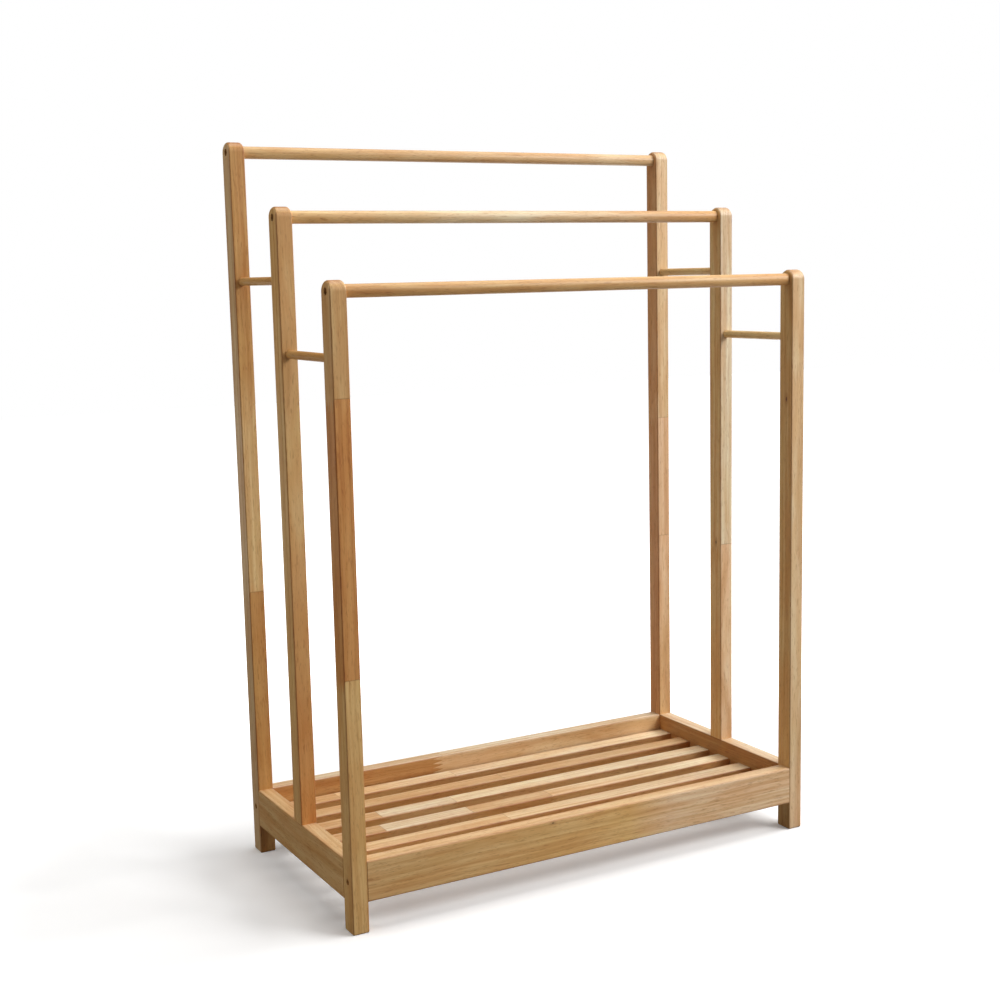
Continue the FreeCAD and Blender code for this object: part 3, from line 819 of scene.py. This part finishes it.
@dataclass
class Posts:
    """The six square posts with half-round tops.

    Attributes:
        edge_radius: easing of the long edges.
        crown_radius: rounding of the rims at the very top, which is sanded more.
        foot_chamfer: chamfer round the bottom of the standing feet.
        arch_steps: faces over a half-round top.
        rim_steps: faces across a rounded rim.
        bar_screw: the hole for a towel bar's screw, from outside.
        rail_screw: the hole for a rail's screw, from outside.
        bar_socket: the blind hole that holds a towel bar's end.
        rung_socket: the blind hole that holds a rung's end.
        rail_screw_height: how high the rails' screws are.
        finishes: the wood of each post, by node.
    """

    edge_radius: float = 1.5 * MM
    crown_radius: float = 3.8 * MM
    foot_chamfer: float = 1.5 * MM
    arch_steps: int = 32
    rim_steps: int = 5
    bar_screw: Hole = Hole(4.25 * MM, 7 * MM, 2.6 * MM, 14.8 * MM)
    rail_screw: Hole = Hole(3.5 * MM, 8 * MM, 2.35 * MM, 19.8 * MM)
    bar_socket: Hole = Hole(7.6 * MM, 5 * MM, eased=0.05 * MM)
    rung_socket: Hole = Hole(5.1 * MM, 10 * MM, eased=0.1 * MM)
    rail_screw_height: float = 60 * MM
    # The posts' sides, which face along X, take another tone: partly their own wood, partly painted
    # light, such as the warm light bounced onto the right posts' inner sides.
    finishes: dict[str, Rubberwood] = field(default_factory=lambda: {
        "front_left_post": PostWood(
            (Stave(Tone.SAND, 295), Stave(Tone.RUSSET, 605.7), Stave(Tone.HONEY)),
            heart=(-61, 18), turn=0.13),
        "middle_left_post": PostWood(
            (Stave(Tone.RUSSET, 480, Tone.HONEY, cut=False), Stave(Tone.HONEY)),
            heart=(24, 66), turn=0.31, edges=Tone.SAND),
        "back_left_post": PostWood(
            (Stave(Tone.AMBER, 344), Stave(Tone.STRAW, 550, cut=False),
             Stave(Tone.STRAW, 625, Tone.AMBER, cut=False), Stave(Tone.AMBER)),
            heart=(-15, 80), turn=0.47, edges=Tone.BLOND),
        "front_right_post": PostWood(
            (Stave(Tone.CREAM, 50, cut=False), Stave(Tone.CREAM, 110, Tone.BLOND, cut=False),
             Stave(Tone.BLOND)),
            heart=(12, -70), turn=0.59, edges=Tone.SAND,
            knots=(Knot((303, -149.6, 569)),)),
        "middle_right_post": PostWood(
            (Stave(Tone.CREAM, 361), Stave(Tone.PALE, fade=Tone.LINEN)),
            heart=(4, 90), turn=0.73,
            knots=(Knot((303, -1.9, 363), 1.2),), edges=Tone.GOLD),
        "back_right_post": PostWood(
            (Stave(Tone.HONEY, 353, Tone.PEACH), Stave(Tone.PEACH, 525), Stave(Tone.BLOND)),
            heart=(-8, 85), turn=0.89, edges=Tone.APRICOT),
    })

    def build(self) -> None:
        """Builds and dresses all six posts."""
        for node, finish in self.finishes.items():
            row, side_name, _ = node.split("_")
            block = Block.of(node)
            bm = self._turned_post(block, row)
            self._drill(bm, block, row, 1 if side_name == "right" else -1)
            deliver(bm, node, finish.material(node, block, Grain.UPRIGHT))

    def _turned_post(self, block: Block, row: str) -> BMesh:
        """Extrudes a post's arched outline from side to side, with rounded rims.

        Args:
            block: the box that the post fills.
            row: front, middle or back.

        Returns:
            The post's mesh, without holes.
        """
        bm = bmesh.new()
        half_depth = block.size.y / 2
        bar = Block.of(f"{row}_towel_bar")
        axis = Vector((block.low.x, block.centre.y, bar.centre.z))
        stands = row != "middle"
        spring = bm.verts.new(axis + Vector((0, half_depth, 0)))
        bmesh.ops.spin(bm, geom=[spring], cent=axis, axis=(1, 0, 0), angle=math.pi,
                       steps=self.arch_steps, use_merge=False)
        bm.verts.ensure_lookup_table()
        chain = list(bm.verts)
        cut = self.foot_chamfer if stands else 0.0
        foot = [(-half_depth, cut), (cut - half_depth, 0.0),
                (half_depth - cut, 0.0), (half_depth, cut)]
        if not stands:
            foot = foot[::3]
        chain += [bm.verts.new((axis.x, axis.y + y, block.low.z + z)) for y, z in foot]
        for start, end in zip(chain[self.arch_steps:], chain[self.arch_steps + 1:] + chain[:1]):
            bm.edges.new((start, end))
        face = bmesh.ops.contextual_create(bm, geom=bm.edges)["faces"][0]
        self._sweep(bm, face, block, axis, stands)
        return bm

    def _sweep(self, bm: BMesh, face: BMFace, block: Block, axis: Vector, stands: bool) -> None:
        """Carries the outline face across the post, drawn in where the rims are rounded.

        Args:
            bm: the mesh.
            face: the outline, in the plane of the post's low side.
            block: the box that the post fills.
            axis: a point on the half-round top's axis.
            stands: True for a post with its own foot.
        """
        ring = [vert.co.copy() for vert in face.verts]
        count = len(ring)
        area = sum(ring[n - 1].y * ring[n].z - ring[n].y * ring[n - 1].z for n in range(count))
        turn = 1.0 if area > 0 else -1.0
        sides = []
        for n in range(count):
            run = (ring[(n + 1) % count] - ring[n]).normalized()
            level = not stands and abs(run.z) < 1e-6 and abs(ring[n].z - block.low.z) < 1e-6
            sides.append(Vector() if level else turn * Vector((0, -run.z, run.y)))
        marker = bm.verts.layers.int.new("outline")
        inward, radius = [], []
        for n, vert in enumerate(face.verts):
            vert[marker] = n
            before, after = sides[n - 1], sides[n]
            inward.append((before + after) / (1 + before.dot(after)))
            rise = max(0.0, (ring[n].z - axis.z) / (block.size.y / 2))
            radius.append(self.edge_radius + (self.crown_radius - self.edge_radius) * rise ** 1.5)
        angles = [math.pi / 2 * step / self.rim_steps for step in range(self.rim_steps + 1)]
        slices = [(block.low.x, 1, angle) for angle in angles]
        slices += [(block.high.x, -1, angle) for angle in reversed(angles)]
        for number, (plane, way, angle) in enumerate(slices):
            if number:
                face = pull(bm, face, keep=number == 1)
            for vert in face.verts:
                n = vert[marker]
                vert.co = ring[n] + inward[n] * radius[n] * (1 - math.sin(angle))
                vert.co.x = plane + way * radius[n] * (1 - math.cos(angle))
        bmesh.ops.recalc_face_normals(bm, faces=bm.faces)

    def _drill(self, bm: BMesh, block: Block, row: str, side: int) -> None:
        """Opens the post's holes: the screws' from outside, the bar's and the rungs' sockets.

        Args:
            bm: the post's mesh.
            block: the box that it fills.
            row: front, middle or back.
            side: -1 for a left post, 1 for a right one.
        """
        upright = Grain.UPRIGHT.heading
        outer, inner = (block.high.x, block.low.x) if side > 0 else (block.low.x, block.high.x)
        middle = block.centre
        inward, outward = Vector((-side, 0, 0)), Vector((side, 0, 0))
        bar_height = Block.of(f"{row}_towel_bar").centre.z
        self.bar_screw.drill(bm, Vector((outer, middle.y, bar_height)), inward, upright)
        self.bar_socket.drill(bm, Vector((inner, middle.y, bar_height)), outward, upright)
        if row != "middle":
            mouth = Vector((outer, middle.y, self.rail_screw_height))
            self.rail_screw.drill(bm, mouth, inward, upright)
        side_name = "right" if side > 0 else "left"
        for level in ("lower", "upper"):
            rung = Block.of(f"{level}_{side_name}_rung")
            for face_y, heading in ((block.low.y, 1), (block.high.y, -1)):
                if rung.low.y < face_y < rung.high.y:
                    mouth = Vector((middle.x, face_y, rung.centre.z))
                    self.rung_socket.drill(bm, mouth, Vector((0, heading, 0)), upright)


# ------------------------------------------------------------
# Round bars
# ------------------------------------------------------------

@dataclass
class RoundBars:
    """The three towel bars and the four side rungs.

    Attributes:
        chamfer: the broken edge at their ends.
        finishes: the wood of each, by node.
    """

    chamfer: float = 0.5 * MM
    finishes: dict[str, Rubberwood] = field(default_factory=lambda: {
        "front_towel_bar": Rubberwood(
            (Stave(Tone.AMBER, -60, Tone.HONEY, cut=False), Stave(Tone.HONEY)),
            heart=(18, -30), turn=1.07),
        "middle_towel_bar": Rubberwood(
            (Stave(Tone.SAND, 0, Tone.PALE, cut=False), Stave(Tone.PALE, fade=Tone.AMBER)),
            heart=(-26, -22), turn=1.21),
        "back_towel_bar": Rubberwood(
            (Stave(Tone.HONEY, fade=Tone.BLOND),), heart=(30, -16), turn=1.37),
        "lower_left_rung": Rubberwood((Stave(Tone.AMBER),), heart=(22, 14), turn=1.49),
        "upper_left_rung": Rubberwood((Stave(Tone.AMBER),), heart=(-20, 24), turn=1.61),
        "lower_right_rung": Rubberwood((Stave(Tone.STRAW),), heart=(16, 28), turn=1.73),
        "upper_right_rung": Rubberwood((Stave(Tone.STRAW),), heart=(-28, 12), turn=1.87),
    })

    def build(self) -> None:
        """Builds and dresses the bars and the rungs."""
        for node, finish in self.finishes.items():
            grain = Grain.SIDEWAYS if node.endswith("bar") else Grain.INWARDS
            block = Block.of(node)
            bm = round_rod(block, grain, self.chamfer)
            deliver(bm, node, finish.material(node, block, grain))


# ------------------------------------------------------------
# Base
# ------------------------------------------------------------

@dataclass
class BaseFrame:
    """The front and back rails and the two side rails.

    Attributes:
        edge_radius: easing of their long edges.
        finishes: the wood of each, by node.
    """

    edge_radius: float = 2 * MM
    # The rails' tops and bottoms take a duller, less saturated tone: painted sheen on the tops.
    finishes: dict[str, Rubberwood] = field(default_factory=lambda: {
        "front_rail": Rubberwood(
            (Stave(Tone.HONEY, 50, Tone.SAND, cut=False),
             Stave(Tone.SAND, 110, Tone.CREAM, cut=False), Stave(Tone.CREAM)),
            heart=(60, 24), turn=2.03, edges=Tone.BLOND, tone_and_light_side=1,
            knots=(Knot((-59.5, -160, 81.0), 0.9),)),
        "back_rail": Rubberwood(
            (Stave(Tone.UMBER, -57), Stave(Tone.BLOND)), heart=(-48, 30), fingers=1, turn=2.19,
            edges=Tone.LINEN, tone_and_light_side=1),
        "left_side_rail": Rubberwood(
            (Stave(Tone.HONEY),), heart=(40, 34), turn=2.31, edges=Tone.ROSE),
        "right_side_rail": Rubberwood(
            (Stave(Tone.UMBER),), heart=(-44, 38), turn=2.47, edges=Tone.LINEN),
    })

    def build(self) -> None:
        """Builds and dresses the four rails."""
        for node, finish in self.finishes.items():
            grain = Grain.INWARDS if "side" in node else Grain.SIDEWAYS
            block = Block.of(node)
            bm = eased_board(block, grain, self.edge_radius)
            deliver(bm, node, finish.material(node, block, grain))


# The slats' fronts and backs take a darker tone: painted shade between the slats.
SlatWoodWithShade = partial(Rubberwood, edges=Tone.SLAT_FRONT_SHADE, fingers=1)


@dataclass
class SlatShelf:
    """The slats of the low shelf and the cleats under their ends.

    Attributes:
        edge_radius: easing of the slats' long edges.
        finishes: the wood of each slat, by node.
        cleat: the wood of the cleats.
    """

    edge_radius: float = 1.5 * MM
    finishes: dict[str, Rubberwood] = field(default_factory=lambda: {
        "slat_1": SlatWoodWithShade(
            (Stave(Tone.ROSE, -210), Stave(Tone.BLOND, -40, Tone.LINEN),
             Stave(Tone.LINEN, fade=Tone.PALE)),
            heart=(10, -48), turn=3.01),
        "slat_2": SlatWoodWithShade(
            (Stave(Tone.ROSE, 9), Stave(Tone.ROSE)),
            heart=(-22, -52), turn=3.17),
        "slat_3": SlatWoodWithShade(
            (Stave(Tone.ROSE, -193), Stave(Tone.LINEN, -88), Stave(Tone.PALE)),
            heart=(14, -60), turn=3.29),
        "slat_4": SlatWoodWithShade(
            (Stave(Tone.ROSE, -209), Stave(Tone.LINEN, -88), Stave(Tone.ROSE, 28),
             Stave(Tone.BLOND, fade=Tone.PALE)),
            heart=(-12, -44), turn=3.41),
        "slat_5": SlatWoodWithShade(
            (Stave(Tone.BLOND, -60), Stave(Tone.BLOND, fade=Tone.LINEN)),
            heart=(18, -58), turn=3.53),
        "slat_6": SlatWoodWithShade(
            (Stave(Tone.HONEY, 70), Stave(Tone.PEACH)),
            heart=(-16, -50), turn=3.67),
    })
    cleat: Rubberwood = Rubberwood((Stave(Tone.HONEY),), heart=(20, 20), turn=3.83)

    def build(self) -> None:
        """Builds and dresses the slats, and dresses the cleats."""
        for node, finish in self.finishes.items():
            block = Block.of(node)
            bm = eased_board(block, Grain.SIDEWAYS, self.edge_radius)
            deliver(bm, node, finish.material(node, block, Grain.SIDEWAYS))
        for node in ("left_slat_cleat", "right_slat_cleat"):
            dress_node(node, self.cleat.material(node, Block.of(node), Grain.INWARDS))


@dataclass
class Joinery:
    """The screws and dowels, which keep their own solids.

    Attributes:
        steel: the screws' finish.
        dowel: the dowels' wood.
        screws: the screws' nodes.
        dowels: the dowels' nodes, with the axis of their fibres.
    """

    steel: BrushedSteel = BrushedSteel()
    dowel: Rubberwood = Rubberwood((Stave(Tone.SAND),), figure=0.6, turn=4.1)
    screws: tuple[str, ...] = ("bar_screws", "rail_screws", "slat_screws", "cleat_screws")
    dowels: dict[str, Grain] = field(default_factory=lambda: {
        "rail_dowels": Grain.SIDEWAYS,
        "side_rail_dowels": Grain.INWARDS,
        "middle_post_dowels": Grain.UPRIGHT,
    })

    def build(self) -> None:
        """Dresses the screws and the dowels."""
        steel = self.steel.material("screw_steel")
        for node in self.screws:
            dress_node(node, steel)
        for node, grain in self.dowels.items():
            dress_node(node, self.dowel.material(node, Block.of(node), grain))


def dress_node(node: str, material: bpy.types.Material) -> None:
    """Gives a CAD node that stays a finish.

    Args:
        node: its name.
        material: its finish.
    """
    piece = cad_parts[node]
    piece.data.materials.clear()
    piece.data.materials.append(material)
    log.info("%s: dressed", node)


# ------------------------------------------------------------
# Studio
# ------------------------------------------------------------

@dataclass(frozen=True)
class Softbox:
    """A rectangular studio lamp.

    Attributes:
        name: its name.
        place: where it stands.
        aim: the point that it faces.
        size: its width and height.
        power: its power in watts.
        colour: its light's colour.
    """

    name: str
    place: tuple[float, float, float]
    aim: tuple[float, float, float]
    size: tuple[float, float]
    power: float
    colour: tuple[float, float, float] = (1.0, 1.0, 1.0)

    def hang(self) -> None:
        """Adds the lamp to the scene."""
        lamp = bpy.data.lights.new(self.name, "AREA")
        lamp.shape = "RECTANGLE"
        lamp.size, lamp.size_y = self.size
        lamp.energy = self.power
        lamp.color = self.colour
        rig = bpy.data.objects.new(self.name, lamp)
        rig.location = self.place
        sight = Vector(self.aim) - Vector(self.place)
        rig.rotation_euler = sight.to_track_quat("-Z", "Y").to_euler()
        rig.visible_camera = False
        bpy.context.scene.collection.objects.link(rig)


@dataclass
class Studio:
    """The camera, the lamps, the pale floor and the white surroundings.

    Attributes:
        camera_place: where the camera stands.
        camera_turn: its turn about X, Y and Z, in degrees.
        lens: its focal length in millimetres on a 36 mm sensor.
        lamps: the softboxes.
        ambient: the light from all round.
        backdrop: the direction in which polish mirrors the white surroundings.
        floor_paint: the floor's lightness to the camera.
        floor_bounce: its lightness to the light that it throws back at the stand.
        floor_glow: what it adds of its own near the stand.
        shadow_reach: how far from the middle, in X and Y, the floor keeps its shadow.
        floor_size: the floor's side.
    """

    camera_place: tuple[float, float, float] = (-0.959465, -1.675645, 0.733913)
    camera_turn: tuple[float, float, float] = (81.618479, 1.247528, -29.093282)
    lens: float = 55.1125
    lamps: tuple[Softbox, ...] = (
        Softbox("key", (1.9, -1.9, 2.0), (0.0, 0.0, 0.4), (1.4, 1.4), 61.0),
        Softbox("side", (2.4, -0.6, 2.0), (0.0, 0.0, 0.4), (1.2, 1.2), 38.0),
        Softbox("overhead", (1.0, 0.35, 5.2), (0.0, 0.0, 0.2), (3.6, 3.6), 158.0),
        Softbox("fill", (-2.4, 0.5, 1.5), (0.0, 0.0, 0.4), (1.5, 1.5), 16.0, (1.0, 0.96, 0.9)),
    )
    ambient: float = 0.08
    backdrop: tuple[float, float, float] = (0.8, 0.55, 0.2)
    floor_paint: float = 0.92
    floor_bounce: float = 0.32
    floor_glow: float = 0.14
    shadow_reach: tuple[float, float] = (0.62, 0.46)
    floor_size: float = 14.0

    def build(self) -> None:
        """Sets up the camera, the lamps, the floor and the surroundings."""
        self._camera()
        for lamp in self.lamps:
            lamp.hang()
        self._floor()
        self._surroundings()

    def _camera(self) -> None:
        """Adds the camera at the photograph's angle."""
        lens = bpy.data.cameras.new("camera")
        lens.lens = self.lens
        lens.sensor_width = 36.0
        lens.clip_end = 50.0
        camera = bpy.data.objects.new("camera", lens)
        camera.location = self.camera_place
        camera.rotation_euler = [math.radians(angle) for angle in self.camera_turn]
        bpy.context.scene.collection.objects.link(camera)
        bpy.context.scene.camera = camera

    def _floor(self) -> None:
        """Adds a pale floor that keeps the shadow and fades to white away from the stand."""
        bm = bmesh.new()
        bmesh.ops.create_grid(bm, x_segments=4, y_segments=4, size=self.floor_size / 2)
        mesh = bpy.data.meshes.new("floor")
        bm.to_mesh(mesh)
        bm.free()
        floor = bpy.data.objects.new("floor", mesh)
        bpy.context.scene.collection.objects.link(floor)
        web = NodeWeb.of("floor_paint")
        rays = web.node("ShaderNodeLightPath").outputs
        mirrored = web.math("MAXIMUM", rays["Is Glossy Ray"], rays["Is Transmission Ray"])
        place = web.node("ShaderNodeTexCoord").outputs["Object"]
        reach = web.length(web.vector("DIVIDE", place, (*self.shadow_reach, 1.0)))
        far = web.spread(reach, 1.0, 1.7, ease=True)
        behind = web.spread(web.dot(place, self.backdrop), 0.3, 1.0, ease=True)
        seen = web.math("MAXIMUM", rays["Is Camera Ray"], web.math("MULTIPLY", mirrored, behind))
        shade = web.math("MULTIPLY", web.math("SUBTRACT", 1.0, mirrored), self.floor_bounce)
        shade = web.math("MAXIMUM", shade, web.math("MULTIPLY", seen, self.floor_paint))
        paint = web.node("ShaderNodeBsdfDiffuse", {"Color": shade}).outputs[0]
        strength = web.math("MULTIPLY", seen, web.spread(far, 0.0, 1.0, self.floor_glow, 1.0))
        glow = web.node("ShaderNodeEmission", {"Strength": strength})
        surface = web.node("ShaderNodeAddShader", {0: paint, 1: glow.outputs[0]})
        mesh.materials.append(web.close(surface.outputs[0]))

    def _surroundings(self) -> None:
        """Makes the surroundings white to the camera and soft to everything else."""
        world = bpy.data.worlds.new("surroundings")
        world.use_nodes = True
        web = NodeWeb(world.node_tree)
        rays = web.node("ShaderNodeLightPath").outputs
        heading = web.node("ShaderNodeTexCoord").outputs["Generated"]
        facing = web.dot(
            web.vector("NORMALIZE", heading), tuple(Vector(self.backdrop).normalized()))
        sheet = web.spread(facing, 0.8, 0.97, ease=True)
        mirrored = web.math("MAXIMUM", rays["Is Glossy Ray"], rays["Is Transmission Ray"])
        seen = web.math("MAXIMUM", rays["Is Camera Ray"], web.math("MULTIPLY", mirrored, sheet))
        plain = web.math("MULTIPLY", web.math("SUBTRACT", 1.0, mirrored), self.ambient)
        strength = web.math("MAXIMUM", seen, plain)
        light = web.node("ShaderNodeBackground", {
            "Color": (1.0, 1.0, 1.0, 1.0), "Strength": strength,
        })
        web.node("ShaderNodeOutputWorld", {"Surface": light.outputs[0]})
        scene = bpy.context.scene
        scene.world = world
        scene.view_settings.view_transform = "Standard"


def main() -> None:
    """Builds the studio and the stand."""
    logging.basicConfig(level=logging.INFO, format="%(name)s %(message)s")
    for part in (Studio(), Posts(), RoundBars(), BaseFrame(), SlatShelf(), Joinery()):
        part.build()
        log.info("%s is done", type(part).__name__)


if __name__ == "__main__":
    main()
